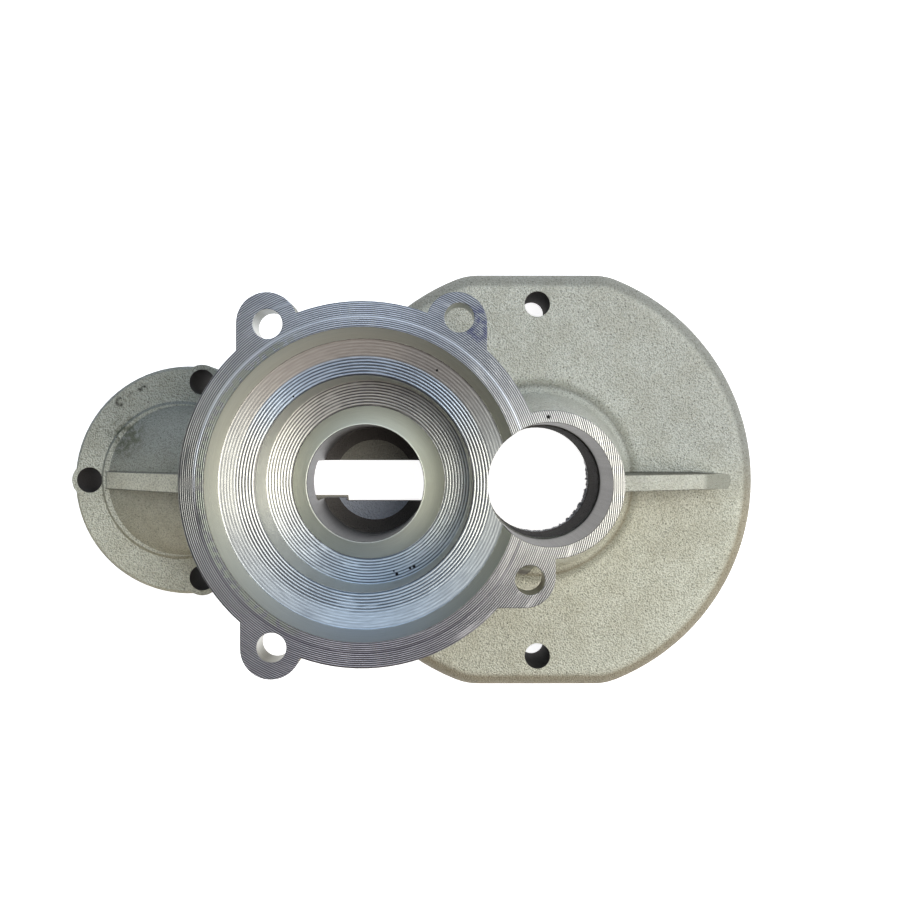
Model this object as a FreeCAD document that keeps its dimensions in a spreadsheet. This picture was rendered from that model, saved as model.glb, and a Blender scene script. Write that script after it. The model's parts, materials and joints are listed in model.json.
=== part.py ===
import FreeCAD, Part
import Sketcher
import os

# One-piece aluminium die casting: one half of a reduction gear case.
# Frame: +Z points out of the motor flange, the origin is the motor axis where it
# meets the joint face (z = 0), and +X runs from the motor axis to the output axis.

# name, value in millimetres or degrees, meaning
SIZES = (
    ("flange_height", 62.0, "motor flange face above the joint face"),
    ("case_height", 22.5, "front wall of gear case and lobe above the joint face"),
    # gear case
    ("output_offset", 53.0, "motor axis to output axis"),
    ("case_radius", 71.2, "outer round of the gear case"),
    ("case_flat_depth", 3.7, "how far each flat of the gear case cuts into the round"),
    ("case_corner_radius", 20.0, "rounding between each flat and the round"),
    ("case_edge_radius", 7.0, "rounding of the outer edge"),
    ("case_wall", 7.2, "side wall"),
    ("case_front", 5.0, "front wall"),
    ("core_corner", 3.0, "bevel where side wall and front wall meet inside"),
    ("case_bolt_inset", 10.5, "each case bolt in from its flat"),
    ("case_column_radius", 9.0, "column round each case bolt"),
    ("cover_hole_diameter", 8.2, "cover bolt holes"),
    # output boss
    ("output_face_radius", 20.9, "machined ring face"),
    ("output_foot_radius", 28.5, "boss where it meets the front wall"),
    ("output_foot_fillet", 6.0, "fillet at the foot of the boss"),
    ("output_bore_diameter", 35.0, "machined seat"),
    ("output_bore_depth", 23.5, "depth of the machined seat"),
    ("output_cast_diameter", 34.2, "as-cast hole behind the seat"),
    # motor flange
    ("flange_radius", 51.5, "outer round of the flange"),
    ("flange_thickness", 9.0, "flange and ears"),
    ("flange_edge_bevel", 1.2, "bevel of the underside edge"),
    ("ear_reach", 52.6, "motor axis to the middle of each ear"),
    ("ear_radius", 8.6, "round end of each ear"),
    ("ear_hole_diameter", 8.4, "motor bolt holes"),
    ("left_hole_reach", 52.2, "motor axis to the holes on the lobe side"),
    ("right_hole_reach", 54.2, "motor axis to the holes on the output side"),
    ("upper_left_angle", 120.4, "ear above the lobe"),
    ("upper_right_angle", 59.7, "ear above the gear case"),
    ("lower_left_angle", 241.0, "ear below the lobe"),
    ("lower_right_angle", 330.4, "ear beside the output boss"),
    # drum under the flange
    ("drum_radius", 37.0, "drum at the flange"),
    ("drum_foot_radius", 38.5, "drum at the joint face"),
    ("drum_top_bevel", 3.5, "bevel where the drum meets the flange"),
    ("drum_wall", 5.0, "wall of the drum"),
    # turned recess
    ("mouth_radius", 44.3, "mouth of the recess in the flange face"),
    ("spigot_radius", 41.5, "bottom of the lead-in cone"),
    ("spigot_depth", 5.0, "first shoulder below the flange face"),
    ("well_diameter", 62.0, "machined seat in the well"),
    ("well_edge_break", 0.3, "bevel at the mouth of that seat"),
    ("well_depth", 21.0, "second shoulder below the flange face"),
    ("lip_foot_radius", 23.1, "cone lip where it rises from the second shoulder"),
    ("lip_height", 10.0, "cone lip above the second shoulder"),
    ("lip_land", 0.4, "flat left on the crest of the lip"),
    ("motor_bore_diameter", 34.2, "motor bore"),
    ("motor_bore_depth", 44.0, "bore floor below the flange face"),
    ("bore_corner", 4.0, "as-cast bevel at the bore floor"),
    ("bore_floor", 4.0, "floor thickness"),
    ("barrel_wall", 5.0, "wall round the motor bore"),
    ("shoulder_web", 5.0, "web under the second shoulder"),
    # lobe
    ("lobe_offset", 60.0, "motor axis to lobe axis"),
    ("lobe_radius", 36.9, "outer round of the lobe"),
    ("lobe_edge_bevel", 1.0, "bevel of the front edge"),
    ("lobe_bolt_reach", 32.0, "lobe axis to each lobe bolt"),
    ("lobe_bolt_angle", 98.0, "side bolts, from the end bolt round the lobe axis"),
    ("lobe_boss_radius", 5.7, "boss round each lobe bolt"),
    ("lobe_core_radius", 21.5, "chamber in the lobe"),
    ("lobe_core_height", 20.0, "straight part of that chamber"),
    # cone between lobe and drum
    ("cone_offset", 62.5, "motor axis to the middle of the cone foot"),
    ("cone_foot_radius", 24.6, "cone foot on the lobe"),
    ("cone_toe_width", 1.0, "sloping step round the cone foot"),
    ("cone_toe_height", 1.2, "step above the lobe"),
    ("cone_top_offset", 32.0, "motor axis to the middle of the cone top"),
    ("cone_top_radius", 10.0, "cone top at the flange"),
    ("hollow_start", 58.0, "motor axis to the foot of the hollow in the cone"),
    ("hollow_foot_radius", 16.0, "foot of the hollow"),
    ("hollow_top_radius", 7.0, "top of the hollow"),
    ("hollow_length", 36.0, "hollow along its slanted axis"),
    ("hollow_slant", 30.0, "axis of the hollow from upright"),
    # channel and slot
    ("channel_start", 50.0, "motor axis to the lobe end of the channel"),
    ("channel_upper", 6.4, "channel side above the axis"),
    ("channel_lower", 5.9, "channel side below the axis"),
    ("channel_height", 37.0, "channel roof above the joint face"),
    ("channel_corner_radius", 1.5, "corners of the channel roof"),
    ("slot_lower", 6.9, "floor slot side below the axis"),
    ("slot_start", 9.3, "motor axis back to the step between slot and channel"),
    ("slot_end", 19.0, "motor axis to the end of the floor slot"),
    # ribs
    ("case_rib_thickness", 4.8, "gusset rib on the gear case"),
    ("case_rib_top", 54.5, "case rib at the boss ring, above the joint face"),
    ("case_rib_tip", 34.0, "case rib at its outer end, above the joint face"),
    ("case_rib_reach", 59.0, "output axis to the outer end of the case rib"),
    ("case_rib_end_radius", 2.0, "rounding of its outer end"),
    ("lobe_rib_thickness", 5.4, "gusset rib on the lobe"),
    ("lobe_rib_reach", 87.7, "motor axis to the outer end of the lobe rib"),
    ("lobe_rib_crest", 54.5, "motor axis to where the lobe rib meets the flange"),
)

EARS = ("upper_left", "upper_right", "lower_left", "lower_right")
EMBED = 2.0     # how far one form runs into the next before they are joined
CLEAR = 1.0     # how far a cutting form stands out of the face that it cuts


def make_sheet(doc):
    """Put every driving dimension in a spreadsheet cell with its alias."""
    sheet = doc.addObject("Spreadsheet::Sheet", "sizes")
    for row, (name, value, meaning) in enumerate(SIZES, start=1):
        sheet.set(f"A{row}", name)
        sheet.set(f"B{row}", str(value))
        sheet.set(f"C{row}", meaning)
        sheet.setAlias(f"B{row}", name)
    doc.recompute()
    return sheet


def value_of(owner, expression):
    """Number that an expression gives now, used to place geometry before solving."""
    result = owner.evalExpression(expression)
    return float(getattr(result, "Value", result))


def sketch_on(body, name, role, height=None):
    """Sketch on a base plane of its own body, lifted along the plane's normal."""
    sketch = body.newObject("Sketcher::SketchObject", name)
    base = next(f for f in body.Origin.OriginFeatures if f.Role == role)
    sketch.AttachmentSupport = [(base, "")]
    sketch.MapMode = "FlatFace"
    if height is not None:
        sketch.setExpression("AttachmentOffset.Base.z", height)
    return sketch


def pin(sketch, geometry, point, horizontal, vertical):
    """Tie one sketch point to the sketch origin by two expressions."""
    for kind, axis, expression in (("DistanceX", -2, horizontal), ("DistanceY", -1, vertical)):
        if expression == "0":
            sketch.addConstraint(Sketcher.Constraint("PointOnObject", geometry, point, axis))
            continue
        distance = value_of(sketch, expression)
        index = sketch.addConstraint(
            Sketcher.Constraint(kind, -1, 1, geometry, point, distance))
        sketch.setExpression(f"Constraints[{index}]", expression)


def add_circle(sketch, radius, horizontal="0", vertical="0"):
    """Circle whose radius and middle are expressions."""
    middle = FreeCAD.Vector(value_of(sketch, horizontal), value_of(sketch, vertical), 0)
    size = value_of(sketch, radius)
    circle = sketch.addGeometry(Part.Circle(middle, FreeCAD.Vector(0, 0, 1), size))
    index = sketch.addConstraint(Sketcher.Constraint("Radius", circle, size))
    sketch.setExpression(f"Constraints[{index}]", radius)
    pin(sketch, circle, 3, horizontal, vertical)


def add_polygon(sketch, corners):
    """Closed outline through corners, each a pair of expressions."""
    points = [FreeCAD.Vector(value_of(sketch, x), value_of(sketch, y), 0) for x, y in corners]
    lines = [sketch.addGeometry(Part.LineSegment(point, points[(i + 1) % len(points)]))
             for i, point in enumerate(points)]
    for i, line in enumerate(lines):
        following = lines[(i + 1) % len(lines)]
        sketch.addConstraint(Sketcher.Constraint("Coincident", line, 2, following, 1))
    for line, (horizontal, vertical) in zip(lines, corners):
        pin(sketch, line, 1, horizontal, vertical)


def add_pad(body, name, sketch, length, symmetric=False):
    """Pad a sketch by an expression, upwards or to both sides alike."""
    pad = body.newObject("PartDesign::Pad", name)
    pad.Profile = sketch
    if symmetric:
        pad.SideType = "Symmetric"
    pad.setExpression("Length", length)
    return pad


def add_turning(body, name, sketch):
    """Full turn of a profile about the vertical axis of its sketch."""
    turning = body.newObject("PartDesign::Revolution", name)
    turning.Profile = sketch
    turning.ReferenceAxis = (sketch, ["V_Axis"])
    turning.Angle = 360
    return turning


def add_loft(body, name, lower, upper):
    """Straight loft between two sketches."""
    loft = body.newObject("PartDesign::AdditiveLoft", name)
    loft.Profile = lower
    loft.Sections = [upper]
    loft.Ruled = True
    return loft


def dress_edges(body, kind, name, base, size, wanted):
    """Fillet or chamfer the edges of a feature for which wanted(bounding box) is true."""
    body.Document.recompute()
    edges = [f"Edge{i}" for i, edge in enumerate(base.Shape.Edges, start=1)
             if wanted(edge.BoundBox)]
    dressing = body.newObject(f"PartDesign::{kind}", name)
    dressing.Base = (base, edges)
    dressing.setExpression("Radius" if kind == "Fillet" else "Size", size)
    return dressing


def near(first, second):
    """True for two lengths that are the same."""
    return abs(first - second) < 0.001


def is_ring(box, radius, height):
    """True for the box of a full circle of this radius at this height."""
    return near(box.XLength, 2 * radius) and near(box.ZMin, height) and near(box.ZMax, height)


def add_cylinder(doc, name, radius, x, y, bottom, height):
    """Upright cylinder, each size and place an expression."""
    cylinder = doc.addObject("Part::Cylinder", name)
    for path, expression in (("Radius", radius), ("Height", height), ("Placement.Base.x", x),
                             ("Placement.Base.y", y), ("Placement.Base.z", bottom)):
        cylinder.setExpression(path, expression)
    return cylinder


def add_box(doc, name, x, y, z, length, width, height):
    """Box with its lowest corner at x, y, z, each value an expression."""
    box = doc.addObject("Part::Box", name)
    for path, expression in (("Length", length), ("Width", width), ("Height", height),
                             ("Placement.Base.x", x), ("Placement.Base.y", y),
                             ("Placement.Base.z", z)):
        box.setExpression(path, expression)
    return box


def join(doc, name, shapes):
    """Union of several objects."""
    fuse = doc.addObject("Part::MultiFuse", name)
    fuse.Shapes = shapes
    fuse.Refine = True
    return fuse


def cut(doc, name, base, tool):
    """Base without tool."""
    result = doc.addObject("Part::Cut", name)
    result.Base = base
    result.Tool = tool
    result.Refine = True
    return result


def add_case_outline(body, name, inset, bottom, height):
    """Round of the gear case with its two flats, moved inwards by inset."""
    radius = f"(sizes.case_radius - {inset})"
    flat = f"(sizes.case_radius - sizes.case_flat_depth - {inset})"
    disc_sketch = sketch_on(body, name + "_round", "XY_Plane", bottom)
    add_circle(disc_sketch, radius, "sizes.output_offset")
    disc = add_pad(body, name + "_disc", disc_sketch, height)
    for side, sign in (("upper", ""), ("lower", "-")):
        flat_sketch = sketch_on(body, f"{name}_{side}", "XY_Plane", bottom)
        add_polygon(flat_sketch, [(f"sizes.output_offset {end} {radius}", f"{sign}{level}")
                                  for end, level in (("-", flat), ("+", flat),
                                                     ("+", f"({flat} + {radius})"),
                                                     ("-", f"({flat} + {radius})"))])
        disc = body.newObject("PartDesign::Pocket", f"{name}_{side}_flat")
        disc.Profile = flat_sketch
        disc.Reversed = True
        disc.setExpression("Length", height)
    return disc


def make_case(doc, sheet):
    """Gear case: rounded tray, output boss turned in one with it, and its gusset rib."""
    body = doc.addObject("PartDesign::Body", "case_form")
    tray = add_case_outline(body, "tray", "0", "0", "sizes.case_height")
    front = sheet.case_height
    flat = sheet.case_radius - sheet.case_flat_depth
    rounded = dress_edges(body, "Fillet", "tray_corner", tray, "sizes.case_corner_radius",
                          lambda box: near(box.ZLength, front)
                          and near(max(box.YMax, -box.YMin), flat))
    dress_edges(body, "Fillet", "tray_edge", rounded, "sizes.case_edge_radius",
                lambda box: near(box.ZMin, front) and near(box.ZMax, front))

    boss_sketch = sketch_on(body, "boss_profile", "XZ_Plane")
    boss_sketch.setExpression("AttachmentOffset.Base.x", "sizes.output_offset")
    add_polygon(boss_sketch, [("0", f"sizes.case_height - {EMBED}"),
                              ("sizes.output_foot_radius", f"sizes.case_height - {EMBED}"),
                              ("sizes.output_foot_radius", "sizes.case_height"),
                              ("sizes.output_face_radius", "sizes.flange_height"),
                              ("0", "sizes.flange_height")])
    boss = add_turning(body, "boss", boss_sketch)
    dress_edges(body, "Fillet", "boss_foot", boss, "sizes.output_foot_fillet",
                lambda box: is_ring(box, sheet.output_foot_radius, front))

    rib_sketch = sketch_on(body, "case_rib_profile", "XZ_Plane")
    root = f"sizes.output_offset + sizes.output_face_radius - {EMBED}"
    tip = "sizes.output_offset + sizes.case_rib_reach"
    add_polygon(rib_sketch, [(root, f"sizes.case_height - {EMBED}"),
                             (tip, f"sizes.case_height - {EMBED}"),
                             (tip, "sizes.case_rib_tip"),
                             (root, "sizes.case_rib_top")])
    rib = add_pad(body, "case_rib", rib_sketch, "sizes.case_rib_thickness", symmetric=True)
    tip_x = sheet.output_offset + sheet.case_rib_reach
    dress_edges(body, "Fillet", "case_rib_end", rib, "sizes.case_rib_end_radius",
                lambda box: near(box.XMin, tip_x) and near(box.XMax, tip_x)
                and near(box.YLength, 0) and box.ZLength > CLEAR)
    return body


def bolt_places():
    """Middle of each lobe bolt: end bolt on the axis, two side bolts."""
    places = [("end", "-sizes.lobe_offset - sizes.lobe_bolt_reach", "0")]
    for side, sign in (("upper", ""), ("lower", "-")):
        across = "sizes.lobe_bolt_reach * cos(sizes.lobe_bolt_angle)"
        along = f"{sign}sizes.lobe_bolt_reach * sin(sizes.lobe_bolt_angle)"
        places.append((side, f"-sizes.lobe_offset - {across}", along))
    return places


def make_lobe(doc, sheet):
    """Lobe with three bolt bosses, the slanted cone up to the flange, and its gusset rib."""
    body = doc.addObject("PartDesign::Body", "lobe_form")
    front = sheet.case_height
    under = "(sizes.flange_height - sizes.flange_thickness)"

    disc_sketch = sketch_on(body, "lobe_round", "XY_Plane")
    add_circle(disc_sketch, "sizes.lobe_radius", "-sizes.lobe_offset")
    disc = add_pad(body, "lobe_disc", disc_sketch, "sizes.case_height")
    dress_edges(body, "Chamfer", "lobe_edge", disc, "sizes.lobe_edge_bevel",
                lambda box: is_ring(box, sheet.lobe_radius, front))

    for side, x, y in bolt_places():
        boss_sketch = sketch_on(body, f"{side}_boss_round", "XY_Plane")
        add_circle(boss_sketch, "sizes.lobe_boss_radius", x, y)
        add_pad(body, f"{side}_boss", boss_sketch, "sizes.case_height")

    toe_sketch = sketch_on(body, "toe_profile", "XZ_Plane")
    toe_sketch.setExpression("AttachmentOffset.Base.x", "-sizes.cone_offset")
    toe_top = "sizes.case_height + sizes.cone_toe_height"
    add_polygon(toe_sketch, [("0", f"sizes.case_height - {EMBED}"),
                             ("sizes.cone_foot_radius + sizes.cone_toe_width",
                              f"sizes.case_height - {EMBED}"),
                             ("sizes.cone_foot_radius + sizes.cone_toe_width", "sizes.case_height"),
                             ("sizes.cone_foot_radius", toe_top),
                             ("0", toe_top)])
    add_turning(body, "toe", toe_sketch)

    foot = sketch_on(body, "cone_foot", "XY_Plane", "sizes.case_height")
    add_circle(foot, "sizes.cone_foot_radius", "-sizes.cone_offset")
    top = sketch_on(body, "cone_top", "XY_Plane", f"{under} + {EMBED}")
    add_circle(top, "sizes.cone_top_radius", "-sizes.cone_top_offset")
    add_loft(body, "cone", foot, top)

    rib_sketch = sketch_on(body, "lobe_rib_profile", "XZ_Plane")
    add_polygon(rib_sketch, [("-sizes.lobe_rib_reach", f"sizes.case_height - {EMBED}"),
                             ("-sizes.cone_top_offset", f"sizes.case_height - {EMBED}"),
                             ("-sizes.cone_top_offset", under),
                             ("-sizes.lobe_rib_crest", under),
                             ("-sizes.lobe_rib_reach", "sizes.case_height")])
    add_pad(body, "lobe_rib", rib_sketch, "sizes.lobe_rib_thickness", symmetric=True)
    return body


def ear_place(ear, reach):
    """Point at this reach from the motor axis, in the direction of an ear."""
    return (f"{reach} * cos(sizes.{ear}_angle)", f"{reach} * sin(sizes.{ear}_angle)")


def make_motor_flange(doc, sheet):
    """Turned drum, flange and four ears, each ear with straight flanks to the flange."""
    body = doc.addObject("PartDesign::Body", "motor_form")
    under = "(sizes.flange_height - sizes.flange_thickness)"
    under_height = sheet.flange_height - sheet.flange_thickness

    drum_sketch = sketch_on(body, "drum_profile", "XZ_Plane")
    add_polygon(drum_sketch, [("0", "0"), ("sizes.drum_foot_radius", "0"),
                              ("sizes.drum_radius", under), ("0", under)])
    add_turning(body, "drum", drum_sketch)

    flange_sketch = sketch_on(body, "flange_round", "XY_Plane", under)
    add_circle(flange_sketch, "sizes.flange_radius")
    flange = add_pad(body, "flange", flange_sketch, "sizes.flange_thickness")
    blend = dress_edges(body, "Chamfer", "drum_top", flange, "sizes.drum_top_bevel",
                        lambda box: is_ring(box, sheet.drum_radius, under_height))
    dress_edges(body, "Chamfer", "flange_edge", blend, "sizes.flange_edge_bevel",
                lambda box: is_ring(box, sheet.flange_radius, under_height))

    for ear in EARS:
        x, y = ear_place(ear, "sizes.ear_reach")
        end_sketch = sketch_on(body, f"{ear}_end_round", "XY_Plane", under)
        add_circle(end_sketch, "sizes.ear_radius", x, y)
        add_pad(body, f"{ear}_end", end_sketch, "sizes.flange_thickness")
        left, right = f"{x} - sizes.ear_radius", f"{x} + sizes.ear_radius"
        flank_sketch = sketch_on(body, f"{ear}_flanks", "XY_Plane", under)
        add_polygon(flank_sketch, [(left, "0"), (right, "0"), (right, y), (left, y)])
        add_pad(body, f"{ear}_flank", flank_sketch, "sizes.flange_thickness")

    x, y = ear_place("lower_right", "sizes.ear_reach")
    foot_sketch = sketch_on(body, "lower_right_foot_flank", "XY_Plane", under)
    add_polygon(foot_sketch, [("0", f"{y} - sizes.ear_radius"), (x, f"{y} - sizes.ear_radius"),
                              (x, y), ("0", y)])
    add_pad(body, "lower_right_foot", foot_sketch, "sizes.flange_thickness")
    return body


def make_turned_core(doc, sheet):
    """Stepped recess, lip and motor bore, turned about the motor axis."""
    body = doc.addObject("PartDesign::Body", "turned_core")
    first = "sizes.flange_height - sizes.spigot_depth"
    second = "sizes.flange_height - sizes.well_depth"
    crest = f"{second} + sizes.lip_height"
    floor = "sizes.flange_height - sizes.motor_bore_depth"
    bore = "sizes.motor_bore_diameter / 2"
    well = "sizes.well_diameter / 2"
    sketch = sketch_on(body, "recess_profile", "XZ_Plane")
    add_polygon(sketch, [("0", f"sizes.flange_height + {CLEAR}"),
                         ("sizes.mouth_radius", f"sizes.flange_height + {CLEAR}"),
                         ("sizes.mouth_radius", "sizes.flange_height"),
                         ("sizes.spigot_radius", first),
                         (f"{well} + sizes.well_edge_break", first),
                         (well, f"{first} - sizes.well_edge_break"),
                         (well, second),
                         ("sizes.lip_foot_radius", second),
                         (f"{bore} + sizes.lip_land", crest),
                         (bore, crest),
                         (bore, floor),
                         ("0", floor)])
    turning = add_turning(body, "recess", sketch)
    dress_edges(body, "Chamfer", "floor_corner", turning, "sizes.bore_corner",
                lambda box: is_ring(box, sheet.motor_bore_diameter / 2,
                                    sheet.flange_height - sheet.motor_bore_depth))
    return body


def make_output_core(doc):
    """Machined seat and as-cast hole on the output axis."""
    body = doc.addObject("PartDesign::Body", "output_core")
    shoulder = "sizes.flange_height - sizes.output_bore_depth"
    sketch = sketch_on(body, "output_profile", "XZ_Plane")
    sketch.setExpression("AttachmentOffset.Base.x", "sizes.output_offset")
    add_polygon(sketch, [("0", f"sizes.flange_height + {CLEAR}"),
                         ("sizes.output_bore_diameter / 2", f"sizes.flange_height + {CLEAR}"),
                         ("sizes.output_bore_diameter / 2", shoulder),
                         ("sizes.output_cast_diameter / 2", shoulder),
                         ("sizes.output_cast_diameter / 2", f"-{CLEAR}"),
                         ("0", f"-{CLEAR}")])
    add_turning(body, "output_hole", sketch)
    return body


def bolt_height(sign):
    """Case bolt above or below the plane of the two main axes."""
    return f"{sign}(sizes.case_radius - sizes.case_flat_depth - sizes.case_bolt_inset)"


def make_case_core(doc, sheet):
    """Inside of the gear case, with the bolt columns and the motor bore's cup left standing."""
    body = doc.addObject("PartDesign::Body", "case_core")
    roof = "(sizes.case_height - sizes.case_front)"
    roof_height = sheet.case_height - sheet.case_front
    chamber = add_case_outline(body, "chamber", "sizes.case_wall", f"-{CLEAR}",
                               f"{roof} + {CLEAR}")
    dress_edges(body, "Chamfer", "chamber_corner", chamber, "sizes.core_corner",
                lambda box: near(box.ZMin, roof_height) and near(box.ZMax, roof_height))
    columns = [add_cylinder(doc, f"{side}_column", "sizes.case_column_radius",
                            "sizes.output_offset", bolt_height(sign),
                            f"-2 * {CLEAR}", f"{roof} + 3 * {CLEAR}")
               for side, sign in (("upper", ""), ("lower", "-"))]
    cup_bottom = "(sizes.flange_height - sizes.motor_bore_depth - sizes.bore_floor)"
    cup = add_cylinder(doc, "bore_cup", "sizes.motor_bore_diameter / 2 + sizes.barrel_wall",
                       "0", "0", cup_bottom, "sizes.flange_height")
    return cut(doc, "case_inside", body, join(doc, "standing", columns + [cup]))


def make_relief_core(doc):
    """Coring between barrel and drum: one half opens into the gear case, one in the neck."""
    roof = "(sizes.flange_height - sizes.well_depth - sizes.shoulder_web)"
    below, tall = f"-2 * {CLEAR}", f"{roof} + 4 * {CLEAR}"
    outside = add_cylinder(doc, "relief_outside", "sizes.drum_radius - sizes.drum_wall",
                           "0", "0", f"-{CLEAR}", f"{roof} + {CLEAR}")
    barrel = add_cylinder(doc, "barrel", "sizes.motor_bore_diameter / 2 + sizes.barrel_wall",
                          "0", "0", below, tall)
    ring = cut(doc, "relief_ring", outside, barrel)

    chamber = doc.addObject("PartDesign::Body", "deep_chamber")
    add_case_outline(chamber, "deep", "sizes.case_wall", f"-{CLEAR}", f"{roof} + {CLEAR}")
    case_half = doc.addObject("Part::MultiCommon", "case_relief")
    case_half.Shapes = [ring, chamber]

    case_round = add_cylinder(doc, "case_round", "sizes.case_radius", "sizes.output_offset",
                              "0", below, tall)
    wall = "sizes.drum_wall"
    channel_walls = add_box(doc, "channel_walls", "-sizes.drum_radius",
                            f"-sizes.channel_lower - {wall}", below,
                            "sizes.drum_radius",
                            f"sizes.channel_lower + sizes.channel_upper + 2 * {wall}", tall)
    neck_half = cut(doc, "neck_relief", ring, join(doc, "neck_walls", [case_round, channel_walls]))
    return [case_half, neck_half]


def make_lobe_core(doc):
    """Round chamber of the lobe and the slanted hollow of the cone above it."""
    chamber = add_cylinder(doc, "lobe_chamber", "sizes.lobe_core_radius", "-sizes.lobe_offset",
                           "0", f"-{CLEAR}", f"sizes.lobe_core_height + {CLEAR}")
    hollow = doc.addObject("Part::Cone", "hollow")
    for path, expression in (("Radius1", "sizes.hollow_foot_radius"),
                             ("Radius2", "sizes.hollow_top_radius"),
                             ("Height", "sizes.hollow_length"),
                             ("Placement.Base.x", "-sizes.hollow_start"),
                             ("Placement.Base.z", "sizes.lobe_core_height / 2"),
                             ("Placement.Rotation.Angle", "sizes.hollow_slant")):
        hollow.setExpression(path, expression)
    hollow.Placement.Rotation.Axis = FreeCAD.Vector(0, 1, 0)
    return [chamber, hollow]


def make_channel_core(doc, sheet):
    """Channel from the lobe through the barrel wall, and the wider slot in the bore floor."""
    body = doc.addObject("PartDesign::Body", "channel_core")
    sketch = sketch_on(body, "channel_section", "YZ_Plane", "-sizes.channel_start")
    add_polygon(sketch, [("-sizes.channel_lower", f"-{CLEAR}"),
                         ("sizes.channel_upper", f"-{CLEAR}"),
                         ("sizes.channel_upper", "sizes.channel_height"),
                         ("-sizes.channel_lower", "sizes.channel_height")])
    channel = add_pad(body, "channel", sketch, "sizes.channel_start - sizes.slot_start")
    dress_edges(body, "Fillet", "channel_roof", channel, "sizes.channel_corner_radius",
                lambda box: near(box.ZMin, sheet.channel_height) and box.XLength > CLEAR)

    under = f"sizes.flange_height - sizes.motor_bore_depth - sizes.bore_floor - {CLEAR}"
    slot = add_box(doc, "floor_slot", "-sizes.slot_start", "-sizes.slot_lower", under,
                   "sizes.slot_start + sizes.slot_end", "sizes.slot_lower + sizes.channel_upper",
                   f"sizes.bore_floor + sizes.bore_corner + {CLEAR}")
    return [body, slot]


def make_bolt_holes(doc):
    """Four motor bolt holes in the ears and five cover bolt holes through the full height."""
    holes = []
    under = f"sizes.flange_height - sizes.flange_thickness - {CLEAR}"
    for ear in EARS:
        side = "left" if "left" in ear else "right"
        x, y = ear_place(ear, f"sizes.{side}_hole_reach")
        holes.append(add_cylinder(doc, f"{ear}_hole", "sizes.ear_hole_diameter / 2", x, y,
                                  under, f"sizes.flange_thickness + 2 * {CLEAR}"))
    places = [(f"lobe_{side}", x, y) for side, x, y in bolt_places()]
    places += [(f"case_{side}", "sizes.output_offset", bolt_height(sign))
               for side, sign in (("upper", ""), ("lower", "-"))]
    for name, x, y in places:
        holes.append(add_cylinder(doc, f"{name}_hole", "sizes.cover_hole_diameter / 2", x, y,
                                  f"-{CLEAR}", f"sizes.case_height + 2 * {CLEAR}"))
    return holes


def check(doc, part):
    """Stop if any object failed or the casting is not one sound solid."""
    for item in doc.Objects:
        if "Invalid" in item.State or "Error" in item.State:
            raise RuntimeError(f"{item.Name} failed: {item.State}")
    shape = part.Shape
    if shape.isNull() or not shape.isValid() or len(shape.Solids) != 1:
        raise RuntimeError(f"{part.Label} is not one valid solid")
    print(part.Label, "volume", round(shape.Volume), "mm3, box", shape.BoundBox)


def build():
    """Model the casting as its outside form less its cores, and write it."""
    doc = FreeCAD.newDocument("die_cast_housing")
    sheet = make_sheet(doc)
    outside = join(doc, "outside", [make_case(doc, sheet), make_lobe(doc, sheet),
                                    make_motor_flange(doc, sheet)])
    cores = [make_turned_core(doc, sheet), make_output_core(doc), make_case_core(doc, sheet)]
    cores += make_relief_core(doc) + make_lobe_core(doc)
    cores += make_channel_core(doc, sheet) + make_bolt_holes(doc)
    housing = cut(doc, "housing", outside, join(doc, "cores", cores))
    doc.recompute()
    check(doc, housing)
    os.makedirs("parts", exist_ok=True)
    housing.Shape.exportStep(f"parts/{housing.Label}.step")


build()
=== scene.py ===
import json
import math
import random

import bpy
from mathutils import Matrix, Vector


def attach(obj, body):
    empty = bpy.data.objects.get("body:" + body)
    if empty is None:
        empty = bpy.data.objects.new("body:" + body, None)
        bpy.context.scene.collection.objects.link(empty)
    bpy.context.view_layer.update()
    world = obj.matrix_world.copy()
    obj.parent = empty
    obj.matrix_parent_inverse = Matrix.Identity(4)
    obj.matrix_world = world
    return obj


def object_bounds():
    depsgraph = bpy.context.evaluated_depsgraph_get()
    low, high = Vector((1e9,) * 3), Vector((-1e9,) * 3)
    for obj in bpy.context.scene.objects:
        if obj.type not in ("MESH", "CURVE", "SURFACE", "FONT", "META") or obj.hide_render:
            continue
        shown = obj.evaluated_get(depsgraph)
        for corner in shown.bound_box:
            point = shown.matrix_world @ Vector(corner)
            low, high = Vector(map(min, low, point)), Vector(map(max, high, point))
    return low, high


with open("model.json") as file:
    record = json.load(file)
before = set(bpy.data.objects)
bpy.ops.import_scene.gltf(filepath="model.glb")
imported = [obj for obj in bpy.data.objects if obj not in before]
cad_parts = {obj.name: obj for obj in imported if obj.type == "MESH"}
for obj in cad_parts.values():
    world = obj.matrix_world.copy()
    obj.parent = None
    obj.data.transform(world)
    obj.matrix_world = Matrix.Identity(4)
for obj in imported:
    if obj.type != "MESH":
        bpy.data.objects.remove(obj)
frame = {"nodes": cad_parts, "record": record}        # one cast body; the burr piece rides on the root body
cad_low, cad_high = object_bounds()

MM = 0.001
housing = frame["nodes"]["housing"]
mounts = {mount["name"]: mount for mount in frame["record"]["mounts"]}


def in_mm(name, axis):
    """Place of a mount along one axis, in millimetres."""
    return mounts[name]["pos_m"][axis] / MM


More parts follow.
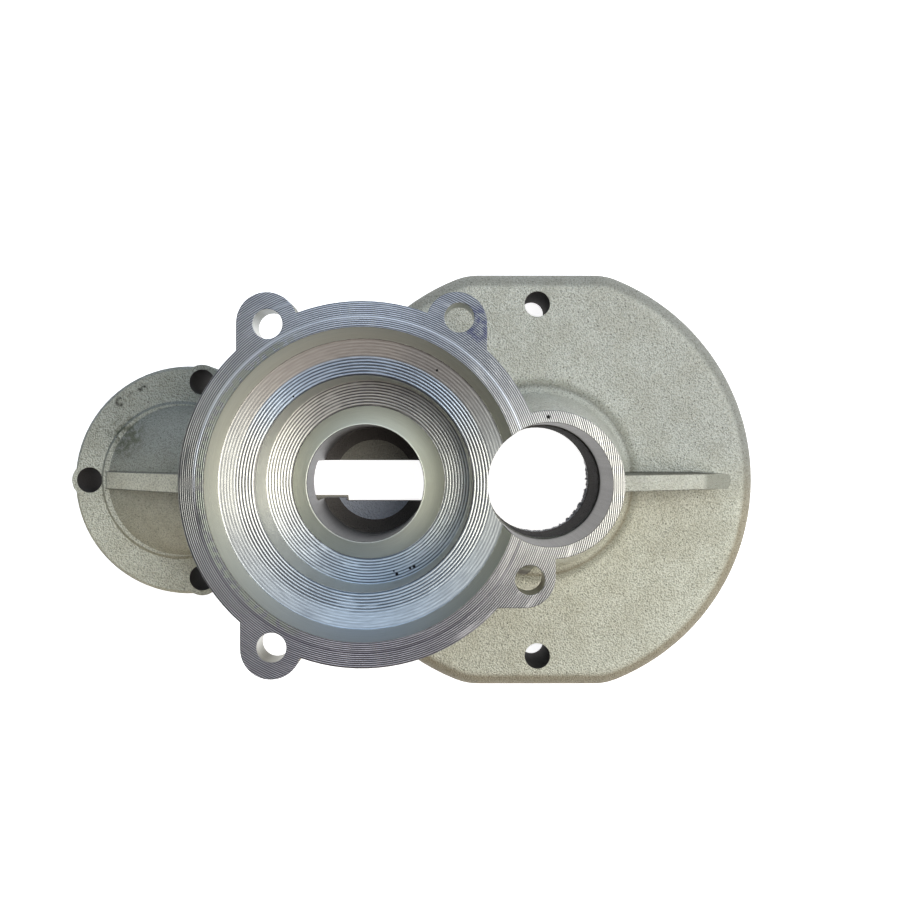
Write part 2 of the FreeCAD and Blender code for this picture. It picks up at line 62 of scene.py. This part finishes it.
# Millimetres in the row frame. The motor axis is X = Y = 0, and Z = 0 is the joint face.
output_x = in_mm("output_seat", 0)
output_seat_radius = mounts["output_seat"]["dims"]["r_mm"]
flange_top = in_mm("motor_face", 2)
output_seat_floor = flange_top - mounts["output_seat"]["dims"]["length_mm"]
output_cast_radius = 17.1
case_front = 22.5
output_rim = case_front - 5.0      # back of the front wall
motor_bore_radius = mounts["motor_bore"]["dims"]["r_mm"]
mouth_radius = 44.3
spigot_radius = 41.5
first_shoulder = in_mm("recess_seats", 2)
well_radius = mounts["recess_seats"]["dims"]["r_mm"]
second_shoulder = 41.0
lip_foot_radius = 23.1
lip_crest = 51.0
bore_floor = 18.0
bore_corner = 4.0
case_rib_half = 2.4
lobe_rib_half = 2.7
ear_holes = ((52.2, 120.4), (54.2, 59.7), (52.2, 241.0), (54.2, 330.4))    # reach, degrees
ear_hole_radius = mounts["motor_bolts"]["dims"]["hole_r_mm"]
cover_hole_radius = mounts["case_cover_bolts"]["dims"]["hole_r_mm"]

# Small marks, each as X, Y and radius
skin_tears = ((-82.2, 25.3, 2.2), (-74.9, 29.8, 2.0), (-78.6, 27.8, 1.3))
ring_specks = ((8.6, -27.9, 0.7), (12.6, -26.1, 0.6), (13.8, -25.6, 0.7), (7.7, -27.0, 0.4),
               (52.3, 19.0, 0.8), (-20.0, 25.0, 0.4), (21.0, 32.5, 0.5))


def cover_hole_places():
    """Middle of each cover bolt hole, from the mounts."""
    places = [(in_mm("lobe_end_bolt", 0), 0.0)]
    for name in ("case_cover_bolts", "lobe_cover_bolts"):
        half = mounts[name]["dims"]["spacing_y_mm"] / 2
        places += [(in_mm(name, 0), half), (in_mm(name, 0), -half)]
    return places


class Graph:
    """A node tree written as sums: sockets and numbers go in, a socket comes out."""

    def __init__(self, tree):
        tree.nodes.clear()
        self.tree = tree

    def add(self, kind, **settings):
        node = self.tree.nodes.new(kind)
        for name, value in settings.items():
            setattr(node, name, value)
        return node

    def put(self, socket, value):
        if isinstance(value, bpy.types.NodeSocket):
            self.tree.links.new(value, socket)
        else:
            socket.default_value = value

    def math(self, operation, *values, clamp=False):
        node = self.add("ShaderNodeMath", operation=operation, use_clamp=clamp)
        for socket, value in zip(node.inputs, values):
            self.put(socket, value)
        return node.outputs[0]

    def plus(self, *values):
        total = values[0]
        for value in values[1:]:
            total = self.math("ADD", total, value)
        return total

    def times(self, *values):
        product = values[0]
        for value in values[1:]:
            product = self.math("MULTIPLY", product, value)
        return product

    def minus(self, a, b):
        return self.math("SUBTRACT", a, b)

    def flip(self, a):
        return self.math("SUBTRACT", 1.0, a, clamp=True)

    def either(self, *masks):
        return self.math("MINIMUM", self.plus(*masks), 1.0)

    def length(self, a, b):
        return self.math("SQRT", self.plus(self.times(a, a), self.times(b, b)))

    def step(self, value, low, high):
        """0 below low, 1 above high, smooth between."""
        node = self.add("ShaderNodeMapRange", interpolation_type="SMOOTHSTEP")
        for name, given in (("Value", value), ("From Min", low), ("From Max", high)):
            self.put(node.inputs[name], given)
        return node.outputs["Result"]

    def within(self, value, low, high, soft=0.08):
        """1 between low and high, 0 outside."""
        rise = self.step(value, low - soft, low + soft)
        fall = self.step(value, high - soft, high + soft)
        return self.math("SUBTRACT", rise, fall, clamp=True)

    def vector(self, x, y, z):
        node = self.add("ShaderNodeCombineXYZ")
        for socket, value in zip(node.inputs, (x, y, z)):
            self.put(socket, value)
        return node.outputs[0]

    def vector_math(self, operation, a, b=None, scale=None):
        node = self.add("ShaderNodeVectorMath", operation=operation)
        self.put(node.inputs[0], a)
        if b is not None:
            self.put(node.inputs[1], b)
        if scale is not None:
            self.put(node.inputs["Scale"], scale)
        return node.outputs[0]

    def parts(self, vector):
        node = self.add("ShaderNodeSeparateXYZ")
        self.put(node.inputs[0], vector)
        return node.outputs

    def noise(self, place, scale, detail=2.0, rough=0.5):
        node = self.add("ShaderNodeTexNoise")
        for name, given in (("Vector", place), ("Scale", scale), ("Detail", detail),
                            ("Roughness", rough)):
            self.put(node.inputs[name], given)
        return node.outputs["Fac"]

    def cells(self, place, scale):
        node = self.add("ShaderNodeTexVoronoi")
        self.put(node.inputs["Vector"], place)
        self.put(node.inputs["Scale"], scale)
        return node.outputs["Distance"]

    def mix(self, factor, a, b, blend="MIX"):
        """Colour a where factor is 0, b where it is 1."""
        node = self.add("ShaderNodeMix", data_type="RGBA", blend_type=blend)
        for socket, value in ((node.inputs[0], factor), (node.inputs[6], a),
                              (node.inputs[7], b)):
            self.put(socket, (*value, 1.0) if isinstance(value, tuple) else value)
        return node.outputs[2]

    def tint(self, colour, by):
        return self.mix(1.0, colour, by, "MULTIPLY")

    def blend(self, factor, a, b):
        """Number a where factor is 0, b where it is 1."""
        node = self.add("ShaderNodeMix", data_type="FLOAT")
        for socket, value in ((node.inputs[0], factor), (node.inputs[2], a),
                              (node.inputs[3], b)):
            self.put(socket, value)
        return node.outputs[0]

    def bump(self, height, normal=None):
        """Normal for a height in millimetres."""
        node = self.add("ShaderNodeBump")
        self.put(node.inputs["Distance"], MM)
        self.put(node.inputs["Height"], height)
        if normal is not None:
            self.put(node.inputs["Normal"], normal)
        return node.outputs[0]

    def principled(self, colour, metallic, rough, normal):
        shader = self.add("ShaderNodeBsdfPrincipled")
        for name, value in (("Base Color", colour), ("Metallic", metallic),
                            ("Roughness", rough), ("Normal", normal)):
            self.put(shader.inputs[name], value)
        self.finish("ShaderNodeOutputMaterial", shader)

    def finish(self, kind, surface):
        self.put(self.add(kind).inputs["Surface"], surface.outputs[0])


def new_material(name):
    material = bpy.data.materials.new(name)
    material.use_nodes = True
    return material, Graph(material.node_tree)


class Place:
    """Where a point of the casting is: millimetres, and directions round the motor axis."""

    def __init__(self, g):
        self.g = g
        at = g.add("ShaderNodeTexCoord").outputs["Object"]
        self.mm = g.vector_math("SCALE", at, scale=1.0 / MM)
        self.x, self.y, self.z = g.parts(self.mm)
        self.up = g.parts(g.add("ShaderNodeNewGeometry").outputs["Normal"])[2]
        self.r = g.length(self.x, self.y)
        self.output_r = self.from_axis(output_x, 0.0)
        away = g.math("MAXIMUM", self.r, 1.0)
        self.cos = g.math("DIVIDE", self.x, away)
        self.sin = g.math("DIVIDE", self.y, away)

    def from_axis(self, x, y):
        """Distance from an upright axis at x, y."""
        g = self.g
        return g.length(g.minus(self.x, x), g.minus(self.y, y))

    def spot(self, x, y, radius):
        """1 at an upright line at x, y and 0 from the radius outward."""
        return self.g.flip(self.g.step(self.from_axis(x, y), 0.4 * radius, radius))

    def round_axis(self, per_mm, turns):
        """Point that runs along the turned rings, for marks drawn out round the axis."""
        g = self.g
        return g.vector(g.times(self.r, per_mm), g.times(self.cos, turns),
                        g.times(self.sin, turns))

    def four_way(self, left, top, right, bottom):
        """Painted light: colour by direction from the motor axis, as turned rings catch the light."""
        g = self.g
        across = g.mix(g.step(self.cos, -0.5, 0.5), left, right)
        along = g.mix(g.step(self.sin, -0.5, 0.5), bottom, top)
        return g.mix(g.times(self.sin, self.sin), across, along)


class Zones:
    """Masks of the machined faces. What none of them covers is blasted casting skin."""

    def __init__(self, g, p):
        clear = g.step(p.output_r, output_seat_radius + 0.05, output_seat_radius + 0.2)
        level = g.step(p.up, 0.80, 0.95)
        self.face = g.times(g.step(p.z, flange_top - 0.3, flange_top - 0.1), level, clear)
        self.shoulder = g.times(g.within(p.z, first_shoulder - 0.2, first_shoulder + 0.2),
                                g.within(p.r, well_radius, spigot_radius + 0.1), clear)
        self.lead_in = g.times(g.within(p.z, first_shoulder + 0.2, flange_top - 0.1),
                               g.within(p.r, spigot_radius - 0.3, mouth_radius + 0.3), clear)
        self.well_wall = g.times(g.within(p.z, second_shoulder + 0.1, first_shoulder - 0.2),
                                 g.within(p.r, well_radius - 0.5, well_radius + 0.5))
        self.seat = g.times(g.within(p.z, second_shoulder - 0.4, second_shoulder + 0.1),
                            g.within(p.r, lip_foot_radius, well_radius + 0.1))
        self.lip = g.times(g.within(p.z, second_shoulder + 0.1, lip_crest + 0.3),
                           g.within(p.r, motor_bore_radius + 0.1, lip_foot_radius + 0.2))
        inside = g.flip(g.step(p.r, motor_bore_radius + 0.02, motor_bore_radius + 0.12))
        corner_top = bore_floor + bore_corner
        self.bore_wall = g.times(inside, g.within(p.z, corner_top, lip_crest + 0.3))
        self.bore_floor = g.times(inside, g.within(p.z, bore_floor - 4.5, corner_top),
                                  g.step(p.z, 10.0, 13.0))
        in_output = g.flip(clear)
        upper = g.step(p.z, output_seat_floor - 0.1, output_seat_floor + 0.1)
        self.output_seat = g.times(in_output, upper)
        self.output_cast = g.times(in_output, g.flip(upper))
        self.joint = g.flip(g.step(p.z, 0.04, 0.12))
        ear_walls = [self.hole(g, p, reach * math.cos(math.radians(angle)),
                               reach * math.sin(math.radians(angle)), ear_hole_radius)
                     for reach, angle in ear_holes]
        self.ear_wall = g.times(g.either(*ear_walls), g.flip(level))
        cover_walls = [self.hole(g, p, x, y, cover_hole_radius)
                       for x, y in cover_hole_places()]
        self.cover_wall = g.times(g.either(*cover_walls), g.flip(level),
                                  g.flip(g.step(p.z, case_front - 0.1, case_front)))
        self.rings = g.either(self.face, self.shoulder, self.seat)
        self.cones = g.either(self.lead_in, self.well_wall, self.lip)
        self.bores = g.either(self.bore_wall, self.output_seat, self.ear_wall, self.cover_wall)
        self.turned = g.either(self.rings, self.cones, self.bores, self.joint)

    @staticmethod
    def hole(g, p, x, y, radius):
        return g.flip(g.step(p.from_axis(x, y), radius + 0.02, radius + 0.12))


class Marks:
    """Turning grooves of the machined faces, and the grain of the blasted skin."""

    def __init__(self, g, p, on):
        # Rings about the motor axis, finer on the flange face, deep near the well
        face_pitch, seat_pitch = 0.56, 0.88
        turns = g.plus(p.r, g.times(g.noise(p.round_axis(0.2, 1.4), 1.0, 1.0), 0.25))
        face_wave = g.math("SINE", g.times(turns, 2 * math.pi / face_pitch))
        seat_wave = g.math("SINE", g.times(turns, 2 * math.pi / seat_pitch))
        self.wave = g.blend(on.face, seat_wave, face_wave)
        self.scratch = g.noise(p.round_axis(3.4, 9.0), 1.0, 2.0, 0.7)
        self.fine_band = g.times(on.shoulder, g.step(p.r, 35.5, 37.5))
        arcs = g.noise(p.round_axis(0.5, 3.0), 1.0, 3.0, 0.6)
        self.groove = g.times(g.step(arcs, 0.15, 0.50), g.blend(self.fine_band, 1.0, 0.25))
        along_walls = g.vector(g.times(p.z, 2.2), g.times(p.cos, 3.0), g.times(p.sin, 3.0))
        self.walls = g.noise(along_walls, 1.0, 3.0, 0.7)

        # Rounded grain with small pits, rubbed smoother on the rounded rims
        self.grain = g.noise(p.mm, 1.9, 2.0, 0.5)
        self.swell = g.noise(p.mm, 0.12, 3.0)
        self.pits = g.flip(g.step(g.cells(p.mm, 0.55), 0.08, 0.2))
        self.slope = g.times(g.flip(g.step(p.up, 0.86, 0.985)), g.step(p.output_r, 29.0, 31.0))
        self.patchy = g.step(g.noise(p.mm, 0.5, 3.0), 0.38, 0.62)


def casting_normal(g, p, on, marks):
    """Grooves and grain as bump. The shoulders and the lip lean towards the motor axis."""
    groove_depth, scratch_depth, wall_depth = 0.030, 0.007, 0.03
    grain_depth = g.blend(marks.slope, 0.85, 0.45)
    swell_depth, pit_depth = 0.8, 0.08
    edge_radius = 0.35
    rings = g.plus(g.times(marks.wave, marks.groove, groove_depth),
                   g.times(marks.scratch, scratch_depth))
    skin = g.plus(g.times(marks.grain, grain_depth), g.times(marks.swell, swell_depth),
                  g.times(marks.pits, -pit_depth))
    height = g.plus(g.times(on.rings, rings), g.times(g.flip(on.turned), skin),
                    g.times(g.flip(on.rings), on.turned, marks.walls, wall_depth))
    edge = g.add("ShaderNodeBevel", samples=6)
    g.put(edge.inputs["Radius"], edge_radius * MM)
    bumped = g.bump(height, edge.outputs[0])
    lean = g.plus(g.times(on.shoulder, 0.13), g.times(on.seat, 0.15), g.times(on.lip, 0.25))
    inward = g.vector(g.times(p.cos, -1.0), g.times(p.sin, -1.0), 0.0)
    leaning = g.vector_math("ADD", bumped, g.vector_math("SCALE", inward, scale=lean))
    return g.vector_math("NORMALIZE", leaning)


def skin_colour(g, p, marks):
    """Blasted skin, with painted shade on the rims, at the foot of the boss and along the ribs."""
    skin = g.mix(g.step(marks.grain, 0.25, 0.62), (0.42, 0.42, 0.355), (0.68, 0.686, 0.607))
    skin = g.mix(g.times(g.step(marks.swell, 0.42, 0.62), 0.22), skin, (0.42, 0.40, 0.31))
    skin = g.mix(g.times(marks.pits, 0.5), skin, (0.10, 0.10, 0.08))

    # Painted light: greyer and darker towards +Y, warmer and lighter towards -Y
    on_lobe = g.flip(g.step(p.x, -45.0, -30.0))
    lower = g.flip(g.step(p.y, -14.0, 14.0))
    lobe_lower = g.flip(g.step(p.y, -22.0, 30.0))
    side_light_tint = g.mix(lower, (0.94, 0.94, 0.94), (1.16, 1.14, 1.06))
    lobe_light_tint = g.mix(lobe_lower, (0.70, 0.71, 0.70), (1.24, 1.22, 1.14))
    skin = g.tint(skin, g.mix(on_lobe, side_light_tint, lobe_light_tint))

    # Painted shade on rims and slopes, apart from the crests of the ribs
    side = g.math("ABSOLUTE", p.y)
    above_wall = g.step(p.z, case_front + 1.5, case_front + 2.1)
    lobe_rib = g.times(on_lobe, g.flip(g.step(side, lobe_rib_half - 0.2, lobe_rib_half)),
                       above_wall)
    case_rib = g.times(g.within(p.x, 73.5, 113.0), above_wall,
                       g.flip(g.step(side, case_rib_half - 0.2, case_rib_half)))
    rim_shade_tint = g.mix(lower, (0.54, 0.54, 0.535), (0.54, 0.49, 0.43))
    cone_shade_tint = g.mix(lower, (0.60, 0.63, 0.67), (0.78, 0.76, 0.70))
    rim = g.tint(skin, g.mix(on_lobe, rim_shade_tint, cone_shade_tint))
    skin = g.mix(g.times(marks.slope, g.flip(g.either(lobe_rib, case_rib))), skin, rim)
    # Painted shade where the slope begins on the +Y side
    shaded = g.times(g.within(p.up, 0.90, 0.98, 0.03), g.step(p.y, 15.0, 35.0), marks.slope)
    skin = g.mix(g.times(shaded, 0.35), skin, (0.14, 0.14, 0.12))
    # Painted light on the lobe rib crest; painted shade on the case rib crest, most at its outer end
    skin = g.mix(lobe_rib, skin, g.tint(skin, (1.12, 1.11, 1.08)))
    rib_end_shade = g.times(case_rib, g.step(p.x, 102.0, 104.0))
    skin = g.mix(g.times(case_rib, 0.35), skin, (0.36, 0.36, 0.31))
    skin = g.mix(g.times(rib_end_shade, 0.9), skin, (0.31, 0.31, 0.25))

    # Painted shade in the crease at the foot of the boss
    boss_foot_shade = g.times(g.within(p.output_r, 30.6, 32.9, 1.0), g.flip(g.step(p.z, 26.0, 29.0)))
    skin = g.mix(g.times(boss_foot_shade, 0.42), skin, (0.12, 0.12, 0.07))
    # Painted shade lines along the flanks of both ribs
    case_rib_shade_line = g.times(g.within(side, case_rib_half - 0.15, case_rib_half + 0.35, 0.2),
                        g.within(p.x, 75.0, 106.0, 1.5))
    skin = g.mix(g.times(case_rib_shade_line, 0.75), skin, (0.06, 0.06, 0.04))
    lobe_rib_shade_line = g.times(g.within(side, lobe_rib_half - 0.1, lobe_rib_half + 0.25, 0.15),
                        on_lobe, g.step(p.x, -88.0, -85.0))
    skin = g.mix(g.times(lobe_rib_shade_line, 0.6), skin, (0.06, 0.06, 0.05))

    # A dark patchy spot and torn skin on the lobe
    dark_lobe_patch = g.times(p.spot(-79.0, 14.0, 9.0), marks.patchy)
    skin = g.mix(g.times(dark_lobe_patch, 0.75), skin, (0.09, 0.095, 0.055))
    tears = g.either(*[p.spot(*tear) for tear in skin_tears])
    return g.mix(g.times(tears, marks.patchy), skin, (0.03, 0.03, 0.02))


def ring_colour(g, p, on, marks):
    """Flat turned faces: painted shade along the grooves, painted light round the axis, small marks."""
    plain = g.mix(g.step(marks.scratch, 0.35, 0.70), (0.70, 0.70, 0.69), (0.90, 0.90, 0.88))
    # Painted shade along the groove troughs
    groove_shade_line = g.times(g.step(marks.wave, 0.5, -0.75), marks.groove)
    rings = g.mix(g.times(groove_shade_line, 0.85), plain, (0.10, 0.10, 0.105))
    # Painted light by direction round the axis
    face_light_tint = p.four_way((0.36, 0.36, 0.34), (0.62, 0.66, 0.74), (0.58, 0.57, 0.53),
                           (0.58, 0.56, 0.61))
    seat_light_tint = p.four_way((0.85, 0.83, 0.75), (0.52, 0.50, 0.48), (0.98, 0.98, 0.90),
                           (0.56, 0.67, 0.80))
    rings = g.tint(rings, g.mix(on.face, seat_light_tint, face_light_tint))

    # Painted reflection on the first shoulder towards +Y: brown outside, blue grooves inside
    above = g.step(p.sin, 0.25, 0.85)
    rings = g.mix(g.times(above, marks.fine_band, 0.6), rings, (0.30, 0.25, 0.21))
    blue_reflection = g.times(above, g.step(g.minus(on.shoulder, marks.fine_band), 0.2, 0.8))
    rings = g.mix(g.times(blue_reflection, 0.8), rings, g.tint(rings, (0.95, 1.2, 1.6)))
    # Painted shade on the upper right and lower left diagonals
    diagonal_shade = g.times(g.step(g.times(p.cos, p.sin), 0.15, 0.4), 0.3)
    rings = g.mix(diagonal_shade, rings, (0.10, 0.105, 0.12))

    # A strip the tool missed, a thin ring with a painted highlight towards +Y and painted shade towards
    # -Y, a dark blue patch and specks
    left_as_cast = g.times(g.within(p.r, mouth_radius, 46.4, 0.4), g.step(p.cos, -0.30, -0.55),
                           g.step(marks.patchy, 0.2, 0.6))
    rings = g.mix(g.times(left_as_cast, 0.8), rings, (0.25, 0.27, 0.22))
    lit_and_shaded_ring = g.times(g.within(p.r, 46.8, 47.4, 0.25), on.face)
    ring_highlight_and_shade = g.mix(g.step(p.sin, -0.2, 0.2), (0.06, 0.05, 0.07), (0.75, 0.80, 0.88))
    rings = g.mix(g.times(lit_and_shaded_ring, 0.45), rings, ring_highlight_and_shade)
    dark_blue_patch = g.times(p.spot(33.0, 45.0, 7.0), marks.patchy, on.face)
    rings = g.mix(g.times(dark_blue_patch, 0.6), rings, (0.04, 0.045, 0.13))
    specks = g.either(*[p.spot(*speck) for speck in ring_specks])
    return g.mix(specks, rings, (0.01, 0.01, 0.01))


def cone_colour(g, p, on, marks):
    """Turned cones and the well wall; painted light by direction round the axis on the lead-in and the
    lip.
    """
    base = g.mix(marks.walls, (0.54, 0.55, 0.49), (0.70, 0.71, 0.64))
    well_tint = (0.76, 0.76, 0.78)
    lead_in_light_tint = p.four_way((1.12, 1.10, 1.02), (1.10, 1.09, 1.06), (1.0, 1.0, 0.90),
                           (0.56, 0.59, 0.68))
    lip_light_tint = p.four_way((1.50, 1.47, 1.40), (1.38, 1.40, 1.38), (1.14, 1.13, 1.04),
                          (0.84, 0.88, 0.94))
    return g.tint(base, g.mix(on.lip, g.mix(on.well_wall, lead_in_light_tint, well_tint), lip_light_tint))


def bore_colour(g, p, on, marks):
    """Motor bore and output seat, painted dark as shade; the motor bore by direction round the axis."""
    motor_bore = p.four_way((0.10, 0.095, 0.10), (0.20, 0.19, 0.185), (0.20, 0.19, 0.185),
                            (0.24, 0.235, 0.235))
    seat = g.mix(marks.walls, (0.068, 0.062, 0.058), (0.10, 0.09, 0.085))
    return g.mix(on.bore_wall, seat, motor_bore)


def bore_end_colour(g, p):
    """Floor of the motor bore, browner towards +Y and bluer towards -Y, with painted shade in its corner.
    """
    floor = g.mix(g.step(p.y, -4.0, 4.0), (0.42, 0.44, 0.49), (0.28, 0.265, 0.22))
    return g.mix(g.step(p.up, 0.98, 0.80), floor, (0.09, 0.08, 0.07))


def casting_material():
    """Sand-blasted die-cast aluminium with turned faces."""
    material, g = new_material("cast_and_turned_aluminium")
    p = Place(g)
    on = Zones(g, p)
    marks = Marks(g, p, on)
    # Painted shade: the cast part of the output hole and the cover bolt holes are near black and matt
    unlit = g.either(on.output_cast, on.cover_wall)
    drilled = g.mix(marks.walls, (0.2, 0.2, 0.19), (0.7, 0.7, 0.64))
    dark_wall = g.mix(marks.grain, (0.03, 0.026, 0.024), (0.07, 0.064, 0.06))
    colour = skin_colour(g, p, marks)
    for mask, covering in ((on.cones, cone_colour(g, p, on, marks)),
                           (on.bores, bore_colour(g, p, on, marks)),
                           (on.ear_wall, drilled),
                           (on.rings, ring_colour(g, p, on, marks)),
                           (on.bore_floor, bore_end_colour(g, p)),
                           (unlit, dark_wall)):
        colour = g.mix(mask, colour, covering)

    half_metal = g.either(on.cones, on.bore_wall, on.output_seat)
    metallic = g.blend(on.turned, 0.3, g.blend(half_metal, 1.0, 0.55))
    metallic = g.times(metallic, g.flip(unlit))
    skin_rough = g.blend(marks.grain, 0.75, 0.5)
    turned_rough = g.blend(marks.scratch, 0.28, 0.42)
    rough = g.blend(unlit, g.blend(on.turned, skin_rough, turned_rough), 0.8)
    g.principled(colour, metallic, rough, casting_normal(g, p, on, marks))
    return material


def torn_material():
    """Bright torn aluminium of the burr."""
    material, g = new_material("torn_aluminium")
    p = Place(g)
    torn = g.noise(p.mm, 2.4, 3.0, 0.7)
    colour = g.mix(g.step(torn, 0.35, 0.65), (0.30, 0.30, 0.32), (0.95, 0.95, 0.98))
    g.principled(colour, 0.5, g.blend(torn, 0.35, 0.6), g.bump(g.times(torn, 0.3)))
    return material


def make_burr():
    """Jagged burr left at the lower rim of the output hole."""
    root_radius = output_cast_radius + 0.15
    first_angle, last_angle, stations = -118.0, 24.0, 150
    jagged = random.Random(4)
    points, faces = [], []
    reach = 0.4
    for i in range(stations + 1):
        share = i / stations
        angle = math.radians(first_angle + (last_angle - first_angle) * share)
        fade = min(1.0, 6.0 * share, 6.0 * (1.0 - share))
        target = jagged.uniform(0.05, 1.0) ** 1.5 * (0.6 + 1.2 * share)
        reach += (target - reach) * 0.5
        tip = root_radius - 0.25 - reach * fade
        low = output_rim + 0.08 + 0.2 * jagged.random()
        for radius, height in ((root_radius, low), (tip, low + 0.25), (root_radius, low + 1.1)):
            points.append(((output_x + radius * math.cos(angle)) * MM,
                           radius * math.sin(angle) * MM, height * MM))
    for i in range(stations):
        for k in range(3):
            here, beside = 3 * i + k, 3 * i + (k + 1) % 3
            faces.append((here, beside, beside + 3, here + 3))
    faces += [(2, 1, 0), (3 * stations, 3 * stations + 1, 3 * stations + 2)]
    mesh = bpy.data.meshes.new("output_burr")
    mesh.from_pydata(points, [], faces)
    mesh.materials.append(torn_material())
    burr = bpy.data.objects.new("output_burr", mesh)
    bpy.context.scene.collection.objects.link(burr)
    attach(burr, "root")


def make_floor():
    """Near-white table top under the casting."""
    half = 3.0
    corners = [(-half, -half, 0.0), (half, -half, 0.0), (half, half, 0.0), (-half, half, 0.0)]
    mesh = bpy.data.meshes.new("table_top")
    mesh.from_pydata(corners, [], [(0, 1, 2, 3)])
    table = bpy.data.objects.new("table_top", mesh)
    bpy.context.scene.collection.objects.link(table)
    table.location.z = cad_low[2] - 0.02 * MM
    material = bpy.data.materials.new("lit_white_table")
    material.use_nodes = True
    shader = material.node_tree.nodes["Principled BSDF"]
    shader.inputs["Base Color"].default_value = (0.9, 0.9, 0.9, 1.0)
    shader.inputs["Roughness"].default_value = 0.9
    shader.inputs["Emission Color"].default_value = (1.0, 1.0, 1.0, 1.0)
    shader.inputs["Emission Strength"].default_value = 0.92
    mesh.materials.append(material)
    table.visible_diffuse = False


def make_world():
    """Soft dome: cool from +Y, warm and dim from -Y, dim from -X and at the horizon."""
    cool, warm = (0.42, 0.53, 0.68), (0.16, 0.125, 0.105)
    dim, horizon = (0.12, 0.12, 0.125), (0.13, 0.11, 0.10)
    world = bpy.data.worlds.new("studio")
    bpy.context.scene.world = world
    world.use_nodes = True
    g = Graph(world.node_tree)
    x, y, z = g.parts(g.add("ShaderNodeTexCoord").outputs["Generated"])
    colour = g.mix(g.step(y, -0.45, 0.45), warm, cool)
    colour = g.mix(g.step(x, -0.2, -0.7), colour, dim)
    colour = g.mix(g.step(z, 0.0, 0.5), horizon, colour)
    background = g.add("ShaderNodeBackground")
    g.put(background.inputs["Color"], colour)
    g.finish("ShaderNodeOutputWorld", background)


def area_light(name, place, size, power, colour):
    """Soft box aimed at the middle of the casting."""
    data = bpy.data.lights.new(name, "AREA")
    data.shape = "RECTANGLE"
    data.size, data.size_y = size
    data.energy = power
    data.color = colour
    light = bpy.data.objects.new(name, data)
    bpy.context.scene.collection.objects.link(light)
    light.location = place
    middle = (Vector(cad_low) + Vector(cad_high)) / 2
    light.rotation_euler = (middle - light.location).to_track_quat("-Z", "Y").to_euler()


def make_lights():
    area_light("key", (0.52, 0.0, 0.90), (0.60, 0.90), 9.0, (1.0, 0.985, 0.95))
    area_light("cool_back", (0.0, 0.8, 0.7), (0.9, 0.35), 1.6, (0.80, 0.90, 1.0))


def make_camera():
    """Straight over the casting, looking down at the flange face."""
    height_over_flange = 0.252
    data = bpy.data.cameras.new("camera")
    data.sensor_width = 36.0
    data.lens = 36.0
    data.clip_start = 0.01
    camera = bpy.data.objects.new("camera", data)
    bpy.context.scene.collection.objects.link(camera)
    camera.location = (0.02472, 0.00972, flange_top * MM + height_over_flange)
    bpy.context.scene.camera = camera


housing.data.materials.clear()
housing.data.materials.append(casting_material())
make_burr()
make_camera()
make_world()
make_lights()
make_floor()
bpy.context.scene.view_settings.view_transform = "Standard"
